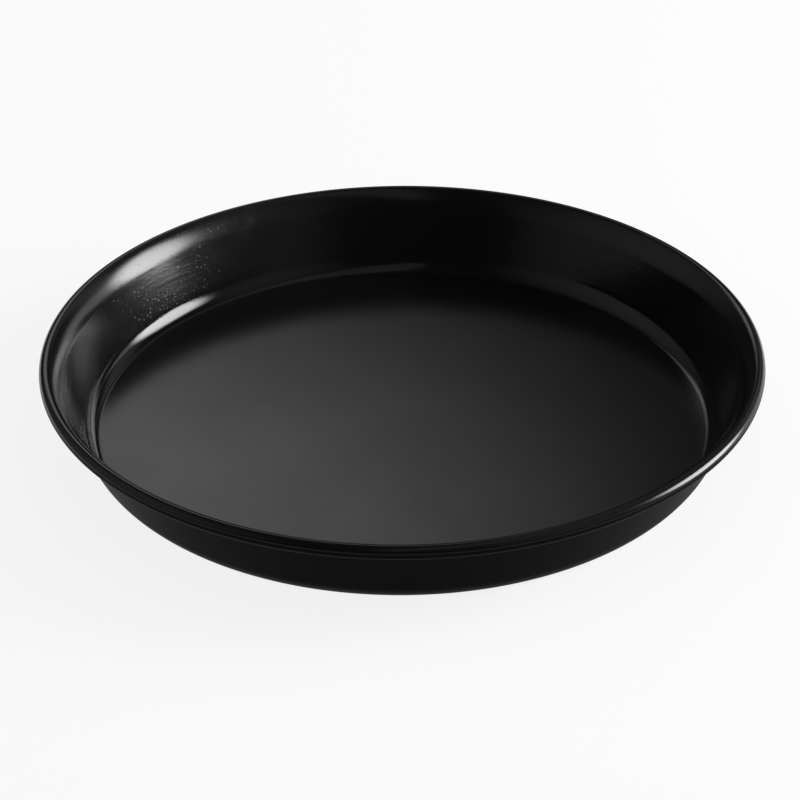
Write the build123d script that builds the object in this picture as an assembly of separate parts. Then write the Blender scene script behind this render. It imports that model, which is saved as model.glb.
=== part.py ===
"""Round pizza pan: one pressed steel sheet whose rim is curled outwards over a stiffening wire.

The sheet has the same thickness all over. Its section starts on the axis, runs out along the flat
floor and turns up through a tight corner, which eases through the rounder heel into the straight
wall. The wall leans out through the wide flare below the rim. The sheet then curls over the wire and
down again, until its raw edge almost meets the outside of the flare. The wire lies loose in the curl.
Sections are drawn as (radius, height) and turned about the pan's upright axis. Lengths are in
millimetres, angles in degrees. The origin is the centre of the underside.
"""

import math
import os

from build123d import *

# The pressed sheet
rim_diameter = 320.0
pan_height = 38.0
sheet_thickness = 1.0
corner_radius = 3.6
corner_slope = 37.0
heel_radius = 13.0
wall_slope = 70.5
flare_slope = 43.5
flare_radius = 23.0

# The wired rim
wire_diameter = 3.7
wire_clearance = 0.2
edge_gap = 0.3
butt_gap = 0.6
butt_direction = -47.0


def along(angle):
    """The unit direction at this angle in the section's plane."""
    turned = math.radians(angle)
    return (math.cos(turned), math.sin(turned))


def from_point(start, distance, angle):
    """The point this far from a start, in the direction of the angle."""
    direction = along(angle)
    return (start[0] + distance * direction[0], start[1] + distance * direction[1])


# The curl: the sheet's inside face becomes the outside of the curl.
wire_radius = wire_diameter / 2
curl_bore = wire_radius + wire_clearance
curl_radius = curl_bore + sheet_thickness
curl_centre = (rim_diameter / 2 - curl_radius, pan_height - curl_radius)

# The flare meets the curl at one angle and the straight wall at the other.
curl_start = flare_slope + 90.0
flare_start = wall_slope + 90.0
flare_drop = flare_radius - curl_radius
flare_centre = from_point(curl_centre, flare_drop, curl_start - 180.0)
wall_top = from_point(flare_centre, flare_radius, flare_start)

# The curl stops where its raw edge is one gap away from the outside of the flare.
edge_reach = flare_radius - sheet_thickness - edge_gap
edge_cosine = (curl_radius**2 + flare_drop**2 - edge_reach**2) / (2 * curl_radius * flare_drop)
curl_turn = 180.0 + math.degrees(math.acos(edge_cosine))
curl_end = curl_start - curl_turn

# The corner is tangent to the floor, and the heel to the corner and to the wall.
corner_start = -90.0
heel_start = corner_start + corner_slope
heel_end = corner_start + wall_slope
heel_drop = heel_radius - corner_radius
corner_height = sheet_thickness + corner_radius
heel_above_axis = from_point((0, corner_height), heel_drop, heel_start + 180.0)
heel_end_above_axis = from_point(heel_above_axis, heel_radius, heel_end)
wall_run = (wall_top[1] - heel_end_above_axis[1]) / math.tan(math.radians(wall_slope))
corner_reach = wall_top[0] - wall_run - heel_end_above_axis[0]
corner_centre = (corner_reach, corner_height)
heel_centre = from_point(corner_centre, heel_drop, heel_start + 180.0)


def pan_shell():
    """The pressed sheet: floor, corner, heel, wall, flare and curled rim in one piece."""
    corner_outside = corner_radius + sheet_thickness
    heel_outside = heel_radius + sheet_thickness
    flare_outside = flare_radius - sheet_thickness
    heel_turn = wall_slope - corner_slope
    flare_turn = wall_slope - flare_slope
    with BuildPart() as shell:
        with BuildSketch(Plane.XZ):
            with BuildLine():
                # The face that the food touches, from the axis to the raw edge
                Line((0, sheet_thickness), (corner_reach, sheet_thickness))
                CenterArc(corner_centre, corner_radius, corner_start, corner_slope)
                CenterArc(heel_centre, heel_radius, heel_start, heel_turn)
                Line(from_point(heel_centre, heel_radius, heel_end), wall_top)
                CenterArc(flare_centre, flare_radius, flare_start, -flare_turn)
                CenterArc(curl_centre, curl_radius, curl_start, -curl_turn)
                # The raw edge, and back along the outside to the axis
                Line(
                    from_point(curl_centre, curl_radius, curl_end),
                    from_point(curl_centre, curl_bore, curl_end),
                )
                CenterArc(curl_centre, curl_bore, curl_end, curl_turn)
                CenterArc(flare_centre, flare_outside, curl_start, flare_turn)
                Line(
                    from_point(flare_centre, flare_outside, flare_start),
                    from_point(heel_centre, heel_outside, heel_end),
                )
                CenterArc(heel_centre, heel_outside, heel_end, -heel_turn)
                CenterArc(corner_centre, corner_outside, heel_start, -corner_slope)
                Line((corner_reach, 0), (0, 0))
                Line((0, 0), (0, sheet_thickness))
            make_face()
        revolve(axis=Axis.Z)
    return shell.part


def rim_wire():
    """The round wire in the curl, bent to a ring whose two cut ends almost meet."""
    butt_angle = math.degrees(butt_gap / curl_centre[0])
    with BuildPart() as wire:
        with BuildSketch(Plane.XZ):
            with Locations(curl_centre):
                Circle(wire_radius)
        revolve(axis=Axis.Z, revolution_arc=360.0 - butt_angle)
    return wire.part.rotate(Axis.Z, butt_direction + butt_angle / 2)


def main():
    """Writes one STEP file for each piece."""
    os.makedirs("parts", exist_ok=True)
    for name, piece in (("pan_shell", pan_shell()), ("rim_wire", rim_wire())):
        export_step(piece, f"parts/{name}.step")


if __name__ == "__main__":
    main()
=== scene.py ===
"""The looks of a round black pizza pan with a wired rim, in a small studio.

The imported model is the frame: it gives the pan's place, its overall size and the hidden rim wire.
The shell is turned again here as a fine mesh with a coated finish, and stands for its CAD solid.
All lengths are metres.
"""

import logging
import math
from dataclasses import dataclass
from enum import Enum

import bpy
from mathutils import Matrix, Vector


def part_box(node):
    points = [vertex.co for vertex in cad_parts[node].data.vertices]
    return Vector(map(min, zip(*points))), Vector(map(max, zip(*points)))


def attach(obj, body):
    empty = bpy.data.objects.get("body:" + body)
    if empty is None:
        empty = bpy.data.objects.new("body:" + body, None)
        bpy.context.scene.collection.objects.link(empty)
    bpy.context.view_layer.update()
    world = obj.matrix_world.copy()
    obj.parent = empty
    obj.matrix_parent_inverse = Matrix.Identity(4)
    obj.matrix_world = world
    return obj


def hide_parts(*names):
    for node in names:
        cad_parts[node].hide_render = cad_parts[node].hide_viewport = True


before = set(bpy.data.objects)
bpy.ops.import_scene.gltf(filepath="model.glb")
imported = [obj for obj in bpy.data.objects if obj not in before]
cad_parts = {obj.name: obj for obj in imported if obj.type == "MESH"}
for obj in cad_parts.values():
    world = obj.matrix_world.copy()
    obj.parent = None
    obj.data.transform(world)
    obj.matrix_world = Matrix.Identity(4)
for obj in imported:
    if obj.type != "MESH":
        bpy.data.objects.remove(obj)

LOG = logging.getLogger("pizza_pan")
BODY = "root"

Point = tuple[float, float]
Spot = tuple[float, float, float]
Colour = tuple[float, float, float, float]

WHITE: Colour = (1.0, 1.0, 1.0, 1.0)
BAKED_BLACK: Colour = (0.004, 0.004, 0.004, 1.0)

# Smooth noise mostly lies between these
NOISE_LOW = 0.3
NOISE_HIGH = 0.7


class ShaderKind(Enum):
    """The node types that the finishes, the lamps and the surroundings are built from."""

    PRINCIPLED = "ShaderNodeBsdfPrincipled"
    OUTPUT = "ShaderNodeOutputMaterial"
    OBJECT_COORDINATES = "ShaderNodeTexCoord"
    NOISE = "ShaderNodeTexNoise"
    CELLS = "ShaderNodeTexVoronoi"
    RANGE = "ShaderNodeMapRange"
    MATH = "ShaderNodeMath"
    BUMP = "ShaderNodeBump"
    SCALE = "ShaderNodeMapping"
    EMISSION = "ShaderNodeEmission"
    LIGHT_PATH = "ShaderNodeLightPath"
    MIX_SHADER = "ShaderNodeMixShader"
    SPLIT = "ShaderNodeSeparateXYZ"
    BACKGROUND = "ShaderNodeBackground"
    WORLD_OUTPUT = "ShaderNodeOutputWorld"
    GEOMETRY = "ShaderNodeNewGeometry"
    VECTOR_MATH = "ShaderNodeVectorMath"
    LIGHT_OUTPUT = "ShaderNodeOutputLight"
    MIX_COLOUR = "ShaderNodeMixRGB"


class Graph:
    """A node tree that is wired up with short calls."""

    def __init__(self, tree: bpy.types.NodeTree) -> None:
        """Empties the tree.

        Args:
            tree: The node tree of a material, of a lamp or of the world.
        """
        self.tree = tree
        tree.nodes.clear()

    def add(self, kind: ShaderKind, **inputs: object) -> bpy.types.Node:
        """Adds a node and sets or links its inputs.

        Args:
            kind: The type of node.
            **inputs: Socket names with spaces as underscores. A socket is linked, a value is set.

        Returns:
            The new node.
        """
        node = self.tree.nodes.new(kind.value)
        for name, value in inputs.items():
            self.put(node, name.replace("_", " "), value)
        return node

    def put(self, node: bpy.types.Node, socket: str | int, value: object) -> None:
        """Sets or links one input.

        Args:
            node: The node whose input it is.
            socket: The input's name or number.
            value: An output socket to link, or a plain value.
        """
        if isinstance(value, bpy.types.NodeSocket):
            self.tree.links.new(value, node.inputs[socket])
        else:
            node.inputs[socket].default_value = value

    def noise(self, where: bpy.types.NodeSocket, scale: float, detail: float) -> bpy.types.NodeSocket:
        """Smooth noise between about 0 and 1.

        Args:
            where: The coordinates.
            scale: Waves for each metre.
            detail: Octaves of finer noise.

        Returns:
            The noise value's socket.
        """
        node = self.add(ShaderKind.NOISE, Vector=where, Scale=scale, Detail=detail)
        return node.outputs["Fac"]

    def remap(
        self,
        value: bpy.types.NodeSocket,
        low: float,
        high: float,
        to_low: float,
        to_high: float,
        smooth: bool = False,
    ) -> bpy.types.NodeSocket:
        """Maps one range of a value to another and clamps it.

        Args:
            value: The socket to map.
            low: Start of the range read.
            high: End of the range read.
            to_low: What low becomes.
            to_high: What high becomes.
            smooth: Whether the change starts and ends gently.

        Returns:
            The mapped value's socket.
        """
        node = self.add(
            ShaderKind.RANGE, Value=value, From_Min=low, From_Max=high, To_Min=to_low, To_Max=to_high
        )
        if smooth:
            node.interpolation_type = "SMOOTHSTEP"
        return node.outputs["Result"]

    def combine(
        self, operation: str, first: bpy.types.NodeSocket, second: bpy.types.NodeSocket | float
    ) -> bpy.types.NodeSocket:
        """Joins two values with a sum, product or the like.

        Args:
            operation: The operation's name, as in Blender.
            first: The first value.
            second: The second value.

        Returns:
            The result's socket.
        """
        node = self.add(ShaderKind.MATH)
        node.operation = operation
        self.put(node, 0, first)
        self.put(node, 1, second)
        return node.outputs["Value"]

    def scale(self, value: bpy.types.NodeSocket, factor: float) -> bpy.types.NodeSocket:
        """A value times a constant."""
        return self.combine("MULTIPLY", value, factor)

    def part(self, vector: bpy.types.NodeSocket, axis: str) -> bpy.types.NodeSocket:
        """One of a vector's three parts, by the name of its axis."""
        return self.add(ShaderKind.SPLIT, Vector=vector).outputs[axis]

    def distance(self, where: bpy.types.NodeSocket, spot: Spot) -> bpy.types.NodeSocket:
        """How far a place lies from a spot.

        Args:
            where: The place's coordinates.
            spot: The spot.

        Returns:
            The distance's socket.
        """
        node = self.add(ShaderKind.VECTOR_MATH)
        node.operation = "DISTANCE"
        self.put(node, 0, where)
        self.put(node, 1, spot)
        return node.outputs["Value"]

    def background_rays(self) -> bpy.types.NodeSocket:
        """Tells the rays that show the background: from the camera, and through gloss and glass.

        Returns:
            The socket of a value that is 1 for these rays and 0 for all others.
        """
        path = self.add(ShaderKind.LIGHT_PATH)
        seen = self.combine("MAXIMUM", path.outputs["Is Camera Ray"], path.outputs["Is Glossy Ray"])
        return self.combine("MAXIMUM", seen, path.outputs["Is Transmission Ray"])

    def bump(
        self,
        height: bpy.types.NodeSocket,
        depth: float,
        below: bpy.types.NodeSocket | None = None,
    ) -> bpy.types.NodeSocket:
        """Turns a height into a bent normal.

        Args:
            height: The height's socket, between 0 and 1.
            depth: The real height of 1, in metres.
            below: The normal of a coarser bump under this one.

        Returns:
            The normal's socket.
        """
        node = self.add(ShaderKind.BUMP, Height=height, Distance=depth, Strength=1.0)
        if below is not None:
            self.put(node, "Normal", below)
        return node.outputs["Normal"]

    def glow(self, strength: bpy.types.NodeSocket | float) -> bpy.types.NodeSocket:
        """White light of this strength, as a shader."""
        return self.add(ShaderKind.EMISSION, Color=WHITE, Strength=strength).outputs["Emission"]

    def blend(
        self, share: bpy.types.NodeSocket, first: bpy.types.NodeSocket, second: bpy.types.NodeSocket
    ) -> bpy.types.NodeSocket:
        """Blends two shaders.

        Args:
            share: The second shader's share, between 0 and 1.
            first: The first shader.
            second: The second shader.

        Returns:
            The blended shader's socket.
        """
        node = self.add(ShaderKind.MIX_SHADER, Fac=share)
        self.put(node, 1, first)
        self.put(node, 2, second)
        return node.outputs["Shader"]


def node_material(name: str) -> tuple[bpy.types.Material, Graph]:
    """Makes a material with an empty node tree.

    Args:
        name: The material's name.

    Returns:
        The material and its tree.
    """
    made = bpy.data.materials.new(name)
    made.use_nodes = True
    return made, Graph(made.node_tree)


def put_in_scene(name: str, data: bpy.types.ID) -> bpy.types.Object:
    """Makes an object and puts it in the scene.

    Args:
        name: The object's name.
        data: Its mesh, light or camera.

    Returns:
        The object.
    """
    made = bpy.data.objects.new(name, data)
    bpy.context.scene.collection.objects.link(made)
    return made


@dataclass(frozen=True)
class BakedCoating:
    """The black baked coating, with orange peel, slow waves, streaks, dust nibs and a dried smear.

    The heel and the wall are glossier than the floor, because pressing stretched them smooth.
    Waves and cells are counted in each metre.
    """

    name: str = "black_coating"
    colour: Colour = BAKED_BLACK
    level: float = 0.5

    # Roughness, from the floor over the heel to the wall, by the height at which each starts
    floor_roughness: float = 0.195
    heel_roughness: float = 0.09
    wall_roughness: float = 0.165
    heel_from: float = 0.0011
    heel_full: float = 0.0018
    wall_from: float = 0.005
    wall_full: float = 0.011
    roughness_swing: float = 0.02

    # A hazy patch at the end of the wall's highlight
    haze_patch: Spot = (-0.084, 0.123, 0.025)
    haze_near: float = 0.008
    haze_far: float = 0.03
    haze_roughness: float = 0.07

    # Slow waves of the sheet, and streaks that run round the wall
    wave_waves: float = 14.0
    wave_detail: float = 3.0
    wave_depth: float = 0.00004
    streak_waves: float = 45.0
    streak_detail: float = 4.0
    streak_squeeze: float = 9.0
    streak_depth: float = 0.00004

    # Orange peel, which comes and goes in patches and is calm on the rim
    peel_waves: float = 850.0
    peel_detail: float = 2.0
    peel_depth: float = 0.00002
    peel_least: float = 0.1
    patch_waves: float = 30.0
    patch_detail: float = 2.0
    patch_low: float = 0.42
    patch_high: float = 0.62
    calm_from: float = 0.03
    calm_full: float = 0.034
    calm_share: float = 0.15

    # Dust nibs under the coating
    nib_cells: float = 600.0
    nib_radius: float = 0.26
    nib_depth: float = 0.00006
    nib_share: float = 0.03
    nib_patch_share: float = 0.7
    nib_patch: Spot = (-0.1, 0.098, 0.014)
    nib_patch_near: float = 0.02
    nib_patch_far: float = 0.055

    # A dried smear below the rim
    film_colour: Colour = (0.016, 0.016, 0.016, 1.0)
    smear_middle: Spot = (-0.083, 0.132, 0.036)
    smear_radius: float = 0.013
    smear_width: float = 0.004
    fleck_waves: float = 240.0
    fleck_detail: float = 2.0
    break_waves: float = 180.0
    break_detail: float = 3.0
    break_low: float = 0.4
    break_high: float = 0.6
    break_least: float = 0.2

    def nibs(self, graph: Graph, where: bpy.types.NodeSocket) -> bpy.types.NodeSocket:
        """Small round bumps of dust, most of them in one patch of the wall and none below it.

        Args:
            graph: The material's node tree.
            where: The coordinates.

        Returns:
            The height's socket, between 0 and 1.
        """
        cells = graph.add(ShaderKind.CELLS, Vector=where, Scale=self.nib_cells)
        dome = graph.remap(cells.outputs["Distance"], 0.0, self.nib_radius, 1.0, 0.0)
        draw = graph.part(cells.outputs["Color"], "X")
        near = graph.distance(where, self.nib_patch)
        share = graph.remap(
            near, self.nib_patch_near, self.nib_patch_far, self.nib_patch_share, self.nib_share
        )
        kept = graph.combine("MULTIPLY", dome, graph.combine("LESS_THAN", draw, share))
        clear = graph.remap(graph.part(where, "Z"), self.wall_from, self.wall_full, 0.0, 1.0)
        return graph.combine("MULTIPLY", kept, clear)

    def smear(self, graph: Graph, where: bpy.types.NodeSocket) -> bpy.types.NodeSocket:
        """The ragged arc of a dried drop below the rim.

        Args:
            graph: The material's node tree.
            where: The coordinates.

        Returns:
            The film's strength, between 0 and 1.
        """
        flecks = graph.scale(graph.noise(where, self.fleck_waves, self.fleck_detail), self.smear_width)
        ragged = graph.combine("ADD", graph.distance(where, self.smear_middle), flecks)
        off = graph.combine("ABSOLUTE", graph.combine("SUBTRACT", ragged, self.smear_radius), 0.0)
        ring = graph.remap(off, 0.0, self.smear_width, 1.0, 0.0)
        start = self.smear_middle[0]
        shown = graph.remap(graph.part(where, "X"), start, start + self.smear_radius, 0.0, 1.0)
        breaks = graph.noise(where, self.break_waves, self.break_detail)
        broken = graph.remap(breaks, self.break_low, self.break_high, self.break_least, 1.0)
        return graph.combine("MULTIPLY", ring, graph.combine("MULTIPLY", shown, broken))

    def roughness(
        self, graph: Graph, where: bpy.types.NodeSocket, cloud: bpy.types.NodeSocket
    ) -> bpy.types.NodeSocket:
        """The roughness by height, with a slow swing and one hazy patch.

        Args:
            graph: The material's node tree.
            where: The coordinates.
            cloud: Slow noise.

        Returns:
            The roughness's socket.
        """
        height = graph.part(where, "Z")
        low = graph.remap(height, self.heel_from, self.heel_full, self.floor_roughness, self.heel_roughness)
        rise = self.wall_roughness - self.heel_roughness
        mean = graph.combine("ADD", low, graph.remap(height, self.wall_from, self.wall_full, 0.0, rise))
        swing = graph.remap(cloud, NOISE_LOW, NOISE_HIGH, -self.roughness_swing, self.roughness_swing)
        reach = graph.distance(where, self.haze_patch)
        haze = graph.remap(reach, self.haze_near, self.haze_far, self.haze_roughness, 0.0)
        return graph.combine("ADD", graph.combine("ADD", mean, swing), haze)

    def relief(
        self, graph: Graph, where: bpy.types.NodeSocket, cloud: bpy.types.NodeSocket
    ) -> bpy.types.NodeSocket:
        """The coating's small forms, from the slow waves to the nibs.

        Args:
            graph: The material's node tree.
            where: The coordinates.
            cloud: Slow noise.

        Returns:
            The normal's socket.
        """
        calm = graph.remap(graph.part(where, "Z"), self.calm_from, self.calm_full, 1.0, self.calm_share)
        normal = graph.bump(cloud, self.wave_depth)
        squeezed = graph.add(ShaderKind.SCALE, Vector=where, Scale=(1.0, 1.0, self.streak_squeeze))
        streaks = graph.noise(squeezed.outputs["Vector"], self.streak_waves, self.streak_detail)
        normal = graph.bump(graph.combine("MULTIPLY", streaks, calm), self.streak_depth, normal)
        patches = graph.noise(where, self.patch_waves, self.patch_detail)
        patches = graph.remap(patches, self.patch_low, self.patch_high, self.peel_least, 1.0)
        peel = graph.noise(where, self.peel_waves, self.peel_detail)
        peel = graph.combine("MULTIPLY", peel, graph.combine("MULTIPLY", patches, calm))
        normal = graph.bump(peel, self.peel_depth, normal)
        return graph.bump(self.nibs(graph, where), self.nib_depth, normal)

    def material(self) -> bpy.types.Material:
        """Builds the coating.

        Returns:
            The node material.
        """
        made, graph = node_material(self.name)
        where = graph.add(ShaderKind.OBJECT_COORDINATES).outputs["Object"]
        cloud = graph.noise(where, self.wave_waves, self.wave_detail)
        colour = graph.add(
            ShaderKind.MIX_COLOUR,
            Fac=self.smear(graph, where),
            Color1=self.colour,
            Color2=self.film_colour,
        )
        shader = graph.add(
            ShaderKind.PRINCIPLED,
            Base_Color=colour.outputs["Color"],
            Roughness=self.roughness(graph, where, cloud),
            Specular_IOR_Level=self.level,
            Normal=self.relief(graph, where, cloud),
        )
        graph.add(ShaderKind.OUTPUT, Surface=shader.outputs["BSDF"])
        return made


@dataclass(frozen=True)
class DrawnWire:
    """Bare drawn steel wire with fine lines along it."""

    name: str = "bare_wire"
    colour: Colour = (0.42, 0.42, 0.43, 1.0)
    line_waves: float = 900.0
    line_detail: float = 3.0
    line_depth: float = 0.00001
    least_roughness: float = 0.28
    most_roughness: float = 0.42

    def material(self) -> bpy.types.Material:
        """Builds the wire's steel.

        Returns:
            The node material.
        """
        made, graph = node_material(self.name)
        where = graph.add(ShaderKind.OBJECT_COORDINATES).outputs["Object"]
        lines = graph.noise(where, self.line_waves, self.line_detail)
        rough = graph.remap(lines, NOISE_LOW, NOISE_HIGH, self.least_roughness, self.most_roughness)
        shader = graph.add(
            ShaderKind.PRINCIPLED,
            Base_Color=self.colour,
            Metallic=1.0,
            Roughness=rough,
            Normal=graph.bump(lines, self.line_depth),
        )
        graph.add(ShaderKind.OUTPUT, Surface=shader.outputs["BSDF"])
        return made


def along(angle: float) -> Vector:
    """The unit direction at an angle in the section's plane, in degrees."""
    return Vector((math.cos(math.radians(angle)), math.sin(math.radians(angle))))


def arc(centre: Vector, radius: float, start: float, turn: float, step: float) -> list[Point]:
    """Points along an arc, with both ends.

    Args:
        centre: The arc's centre, as radius and height.
        radius: The arc's radius.
        start: The first point's angle, in degrees.
        turn: The angle turned through, in degrees.
        step: The widest angle between points, in degrees.

    Returns:
        The points, as radius and height.
    """
    count = max(2, math.ceil(abs(turn) / step))
    places = [centre + radius * along(start + turn * i / count) for i in range(count + 1)]
    return [(place.x, place.y) for place in places]


@dataclass
class PanSection:
    """The pan's section: floor, corner, heel, wall, flare and curl, as in the solid model.

    Angles are in degrees.
    """

    height: float
    rim_radius: float = 0.16
    sheet: float = 0.001
    corner_radius: float = 0.0036
    corner_slope: float = 37.0
    heel_radius: float = 0.013
    wall_slope: float = 70.5
    flare_slope: float = 43.5
    flare_radius: float = 0.023
    curl_radius: float = 0.00305
    edge_gap: float = 0.0003

    # Where the shoulder's finish and the outside's start, as angles above the curl's middle
    finish_edges: tuple[float, float] = (28.0, 14.0)

    # Rings of points on the floor, as shares of its reach, and the steps along tight and wide arcs
    floor_shares: tuple[float, ...] = (0.0, 0.5, 0.97)
    arc_step: float = 6.0
    fine_step: float = 3.0

    def finishes(self, points: list[Point]) -> list[int]:
        """Which finish each point has: 0 on the inside, 1 on the bead's shoulder and 2 on the outside.

        Args:
            points: The section's points, from the inside to the underside.

        Returns:
            The finish's number for each point.
        """
        crest = max(range(len(points)), key=lambda i: points[i][1])
        drops = [self.curl_radius * (1.0 - math.sin(math.radians(edge))) for edge in self.finish_edges]
        numbers, number = [], 0
        for i, (_, height) in enumerate(points):
            if i > crest:
                number = max(number, sum(height < self.height - drop for drop in drops))
            numbers.append(number)
        return numbers

    def outline(self) -> list[Point]:
        """The closed section from the axis along the inside, round the rim and back underneath.

        Returns:
            Points as radius and height. The first and last lie on the axis.
        """
        curl_bore = self.curl_radius - self.sheet
        curl_centre = Vector((self.rim_radius - self.curl_radius, self.height - self.curl_radius))
        curl_start = self.flare_slope + 90.0
        flare_start = self.wall_slope + 90.0
        flare_drop = self.flare_radius - self.curl_radius
        flare_centre = curl_centre - flare_drop * along(curl_start)
        wall_top = flare_centre + self.flare_radius * along(flare_start)
        reach = self.flare_radius - self.sheet - self.edge_gap
        cosine = (self.curl_radius**2 + flare_drop**2 - reach**2) / (2 * self.curl_radius * flare_drop)
        curl_turn = 180.0 + math.degrees(math.acos(cosine))
        curl_end = curl_start - curl_turn
        corner_height = self.sheet + self.corner_radius
        corner_end = self.corner_slope - 90.0
        heel_end = self.wall_slope - 90.0
        heel_drop = self.heel_radius - self.corner_radius
        heel_step = self.heel_radius * along(heel_end) - heel_drop * along(corner_end)
        wall_run = (wall_top.y - corner_height - heel_step.y) / math.tan(math.radians(self.wall_slope))
        corner_reach = wall_top.x - wall_run - heel_step.x
        corner_centre = Vector((corner_reach, corner_height))
        heel_centre = corner_centre - heel_drop * along(corner_end)
        corner_outside = self.corner_radius + self.sheet
        heel_outside = self.heel_radius + self.sheet
        flare_outside = self.flare_radius - self.sheet
        step, fine = self.arc_step, self.fine_step
        corner_turn = self.corner_slope
        heel_turn = self.wall_slope - self.corner_slope
        flare_turn = self.flare_slope - self.wall_slope
        inside = [(corner_reach * share, self.sheet) for share in self.floor_shares]
        inside += arc(corner_centre, self.corner_radius, -90.0, corner_turn, step)
        inside += arc(heel_centre, self.heel_radius, corner_end, heel_turn, fine)[1:]
        inside += arc(flare_centre, self.flare_radius, flare_start, flare_turn, fine)
        inside += arc(curl_centre, self.curl_radius, curl_start, -curl_turn, step)[1:]
        outside = arc(curl_centre, curl_bore, curl_end, curl_turn, step)
        outside += arc(flare_centre, flare_outside, curl_start, -flare_turn, fine)[1:]
        outside += arc(heel_centre, heel_outside, heel_end, -heel_turn, fine)
        outside += arc(corner_centre, corner_outside, corner_end, -corner_turn, step)[1:]
        outside += [(corner_reach * share, 0.0) for share in reversed(self.floor_shares)]
        return inside + outside


@dataclass
class PanShell:
    """The pressed sheet with its curled rim, turned from the section.

    The coating is duller on the bead's shoulder and dullest on the outside, where a glossy one would
    mirror the pale floor.
    """

    section: PanSection
    inside: BakedCoating = BakedCoating()
    shoulder: BakedCoating = BakedCoating(
        name="black_coating_shoulder",
        level=0.16,
        floor_roughness=0.26,
        heel_roughness=0.26,
        wall_roughness=0.26,
    )
    outside: BakedCoating = BakedCoating(
        name="black_coating_outside",
        level=0.014,
        floor_roughness=0.42,
        heel_roughness=0.42,
        wall_roughness=0.42,
        film_colour=BAKED_BLACK,
        streak_depth=0.00001,
        nib_patch_share=0.03,
    )
    turns: int = 360
    name: str = "pan_shell_coated"

    def mesh(self) -> bpy.types.Mesh:
        """Turns the section about the upright axis.

        Returns:
            A closed mesh of quads, with a fan of triangles at each end of the axis.
        """
        outline = self.section.outline()
        rings = outline[1:-1]
        verts = [(0.0, 0.0, outline[0][1])]
        for radius, height in rings:
            for i in range(self.turns):
                angle = math.tau * i / self.turns
                verts.append((radius * math.cos(angle), radius * math.sin(angle), height))
        verts.append((0.0, 0.0, outline[-1][1]))
        last = len(verts) - 1
        faces, finishes = [], []
        numbers = self.section.finishes(rings)
        for i in range(self.turns):
            j = (i + 1) % self.turns
            faces.append((0, 1 + i, 1 + j))
            start = 1 + (len(rings) - 1) * self.turns
            faces.append((last, start + j, start + i))
            finishes += [numbers[0], numbers[-1]]
            for ring in range(len(rings) - 1):
                inner, outer = 1 + ring * self.turns, 1 + (ring + 1) * self.turns
                faces.append((inner + i, outer + i, outer + j, inner + j))
                finishes.append(numbers[ring])
        made = bpy.data.meshes.new(self.name)
        made.from_pydata(verts, [], faces)
        made.validate()
        made.polygons.foreach_set("material_index", finishes)
        made.shade_smooth()
        return made

    def build(self) -> bpy.types.Object:
        """Makes the shell, dresses it and puts it in the solid's place.

        Returns:
            The shell's object.
        """
        piece = put_in_scene(self.name, self.mesh())
        for finish in (self.inside, self.shoulder, self.outside):
            piece.data.materials.append(finish.material())
        keep_edges(piece)
        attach(piece, BODY)
        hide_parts("pan_shell")
        return piece


def keep_edges(piece: bpy.types.Object, angle: float = 40.0) -> None:
    """Marks the edges that turn by more than an angle as sharp.

    Args:
        piece: The mesh object.
        angle: The least angle between the faces of a sharp edge, in degrees.
    """
    piece.data.set_sharp_from_angle(angle=math.radians(angle))


@dataclass
class RimWire:
    """The wire ring in the curl. Its solid stays, with the finish of drawn steel."""

    finish: DrawnWire = DrawnWire()

    def dress(self) -> bpy.types.Object:
        """Gives the solid its finish.

        Returns:
            The wire's object.
        """
        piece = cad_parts["rim_wire"]
        piece.data.materials.clear()
        piece.data.materials.append(self.finish.material())
        return piece


def towards(azimuth: float, elevation: float) -> Vector:
    """A unit direction. Azimuth 0 is +Y and 90 is +X; both angles are in degrees."""
    a, e = math.radians(azimuth), math.radians(elevation)
    return Vector((math.sin(a) * math.cos(e), math.cos(a) * math.cos(e), math.sin(e)))


@dataclass(frozen=True)
class SoftPanel:
    """An oval glowing panel that faces the pan.

    Its place and spread are angles in degrees, as seen from the pan. Its glow is the brightness of its
    middle, where 1 shows as white, and it fades over the soft share of the way to its edge.
    """

    name: str
    azimuth: float
    elevation: float
    wide: float
    high: float
    glow: float
    soft_share: float = 1.0
    turn: float = 0.0
    distance: float = 1.7

    def build(self) -> bpy.types.Object:
        """Hangs the lamp.

        Returns:
            The lamp's object.
        """
        lamp = bpy.data.lights.new(self.name, "AREA")
        lamp.shape = "ELLIPSE"
        lamp.size = 2 * self.distance * math.tan(math.radians(self.wide / 2))
        lamp.size_y = 2 * self.distance * math.tan(math.radians(self.high / 2))
        front = lamp.size * lamp.size_y * (math.pi / 4)
        lamp.energy = self.glow * math.pi * front
        self.fade(lamp)
        piece = put_in_scene(self.name, lamp)
        direction = towards(self.azimuth, self.elevation)
        facing = direction.to_track_quat("Z", "Y").to_matrix().to_4x4()
        tilt = Matrix.Rotation(math.radians(self.turn), 4, "Z")
        piece.matrix_world = Matrix.Translation(direction * self.distance) @ facing @ tilt
        piece.visible_camera = False
        return piece

    def fade(self, lamp: bpy.types.Light) -> None:
        """Makes the front glow less towards its edge, as the cloth of a softbox does.

        Args:
            lamp: The lamp's data.
        """
        lamp.use_nodes = True
        graph = Graph(lamp.node_tree)
        place = graph.add(ShaderKind.GEOMETRY).outputs["Parametric"]
        # The front's own coordinates run from 0 to 1, so its edge is half a unit from the middle
        edge = 0.5
        reach = graph.distance(place, (edge, edge, 0.0))
        fall = graph.remap(reach, edge * (1.0 - self.soft_share), edge, 1.0, 0.0, smooth=True)
        graph.add(ShaderKind.LIGHT_OUTPUT, Surface=graph.glow(fall))


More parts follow.
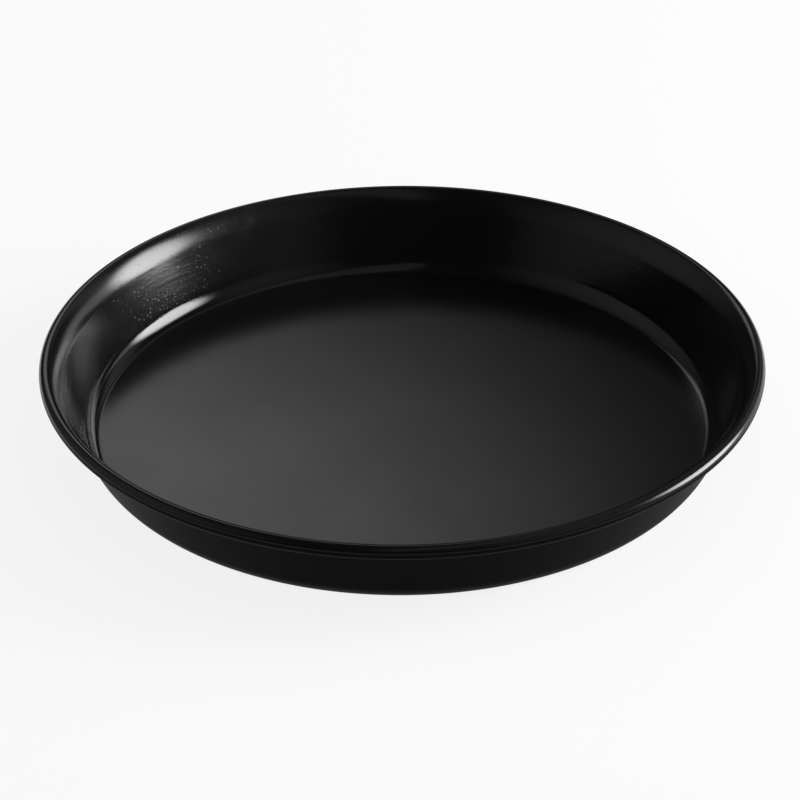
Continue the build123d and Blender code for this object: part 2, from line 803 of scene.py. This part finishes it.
@dataclass
class Studio:
    """The pale floor, the lamps, and the dark cloth that keeps the surroundings out of the gloss."""

    floor_half: float = 12.0
    floor_drop: float = 0.0002
    floor_colour: Colour = (0.9, 0.9, 0.9, 1.0)
    floor_roughness: float = 0.9
    floor_lift: float = 0.85
    cloth_radius: float = 6.0
    cloth_rings: int = 32
    cloth_glow: float = 0.022
    fill: float = 0.35
    lamps: tuple[SoftPanel, ...] = (
        SoftPanel("key_softbox", 82.0, 20.1, 39.5, 46.0, 13.0, soft_share=0.48, turn=1.0),
        SoftPanel("key_low_strip", 63.9, 12.0, 89.3, 19.7, 0.9, soft_share=0.44, turn=-20.0),
        SoftPanel("back_panel", -12.9, 33.3, 51.5, 20.2, 1.36, soft_share=0.95, turn=-19.0),
        SoftPanel("back_strip", 45.6, 25.9, 52.6, 24.4, 0.24, soft_share=0.71, turn=17.0),
        SoftPanel("left_card", -89.8, 26.3, 116.6, 96.4, 0.23, turn=-25.0),
        SoftPanel("top_card", 63.0, 70.4, 127.2, 27.9, 0.17, soft_share=0.34, turn=-46.0),
        SoftPanel("right_card", 125.7, 37.0, 59.5, 105.4, 0.16, turn=-29.0),
    )

    def floor(self) -> bpy.types.Object:
        """Lays the pale floor under the pan.

        Returns:
            The floor's object.
        """
        half = self.floor_half
        made = bpy.data.meshes.new("studio_floor")
        places = [(-half, -half, 0.0), (half, -half, 0.0), (half, half, 0.0), (-half, half, 0.0)]
        made.from_pydata(places, [], [(0, 1, 2, 3)])
        material, graph = node_material("pale_floor")
        matt = graph.add(
            ShaderKind.PRINCIPLED,
            Base_Color=self.floor_colour,
            Roughness=self.floor_roughness,
            Specular_IOR_Level=0.0,
        )
        shown = graph.scale(graph.background_rays(), self.floor_lift)
        graph.add(ShaderKind.OUTPUT, Surface=graph.blend(shown, matt.outputs["BSDF"], graph.glow(1.0)))
        made.materials.append(material)
        piece = put_in_scene("studio_floor", made)
        piece.location.z = -self.floor_drop
        return piece

    def cloth(self) -> bpy.types.Object:
        """Hangs a dark dome of cloth round the set, which only reflections see.

        Returns:
            The cloth's object.
        """
        bpy.ops.mesh.primitive_uv_sphere_add(
            segments=2 * self.cloth_rings, ring_count=self.cloth_rings, radius=self.cloth_radius
        )
        piece = bpy.context.object
        piece.name = "dark_cloth"
        material, graph = node_material("dark_cloth")
        graph.add(ShaderKind.OUTPUT, Surface=graph.glow(self.cloth_glow))
        piece.data.materials.append(material)
        piece.visible_camera = False
        piece.visible_diffuse = False
        piece.visible_shadow = False
        return piece

    def sky(self) -> None:
        """Makes the world a white background and a soft fill."""
        world = bpy.data.worlds.new("studio_air")
        bpy.context.scene.world = world
        world.use_nodes = True
        graph = Graph(world.node_tree)
        fill, white = (
            graph.add(ShaderKind.BACKGROUND, Color=WHITE, Strength=strength).outputs["Background"]
            for strength in (self.fill, 1.0)
        )
        graph.add(ShaderKind.WORLD_OUTPUT, Surface=graph.blend(graph.background_rays(), fill, white))

    def build(self) -> list[bpy.types.Object]:
        """Sets up the studio.

        Returns:
            The stage's objects.
        """
        stage = [self.floor(), self.cloth()]
        self.sky()
        for lamp in self.lamps:
            lamp.build()
        return stage


@dataclass
class PhotoCamera:
    """The camera, placed by where the rim's centre lies in the photograph.

    The image and the focal length are in pixels, the angles in degrees, and the sensor in millimetres.
    """

    rim_radius: float
    bead_centre_height: float
    image: float = 800.0
    focal_pixels: float = 2937.0
    distance_in_rims: float = 8.129
    elevation: float = 30.19
    roll: float = -0.36
    rim_centre_pixel: Point = (402.0, 353.5)
    sensor: float = 36.0

    def build(self) -> bpy.types.Object:
        """Makes the scene's camera.

        Returns:
            The camera's object.
        """
        data = bpy.data.cameras.new("photo_camera")
        data.sensor_width = self.sensor
        data.lens = self.focal_pixels / self.image * self.sensor
        camera = put_in_scene("photo_camera", data)
        tilt, turn = math.radians(self.elevation), math.radians(self.roll)
        sine, cosine = math.sin(tilt), math.cos(tilt)
        level = Matrix(((1, 0, 0), (0, -sine, -cosine), (0, cosine, -sine)))
        rolled = Matrix.Rotation(turn, 3, "Z") @ level
        middle = self.image / 2
        offset = [(pixel - middle) / self.focal_pixels for pixel in self.rim_centre_pixel]
        ray = Vector((offset[0], offset[1], 1.0)).normalized()
        aim = Vector((0.0, 0.0, 1.0)).rotation_difference(ray).to_matrix()
        view = aim @ rolled
        reach = aim @ Vector((0.0, 0.0, self.distance_in_rims * self.rim_radius))
        place = Vector((0.0, 0.0, self.bead_centre_height)) - view.transposed() @ reach
        axes = Matrix((view[0], -view[1], -view[2])).transposed()
        camera.matrix_world = Matrix.Translation(place) @ axes.to_4x4()
        bpy.context.scene.camera = camera
        return camera


def main() -> None:
    """Builds the pan, the studio and the camera."""
    logging.basicConfig(level=logging.INFO, format="%(name)s: %(message)s")
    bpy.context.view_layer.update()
    _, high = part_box("pan_shell")
    section = PanSection(height=high.z)
    shell = PanShell(section).build()
    LOG.info("%s: %d faces", shell.name, len(shell.data.polygons))
    wire = RimWire().dress()
    LOG.info("%s: dressed", wire.name)
    for piece in Studio().build():
        LOG.info("%s: stage", piece.name)
    PhotoCamera(section.rim_radius, section.height - section.curl_radius).build()
    bpy.context.scene.view_settings.view_transform = "Standard"


if __name__ == "__main__":
    main()
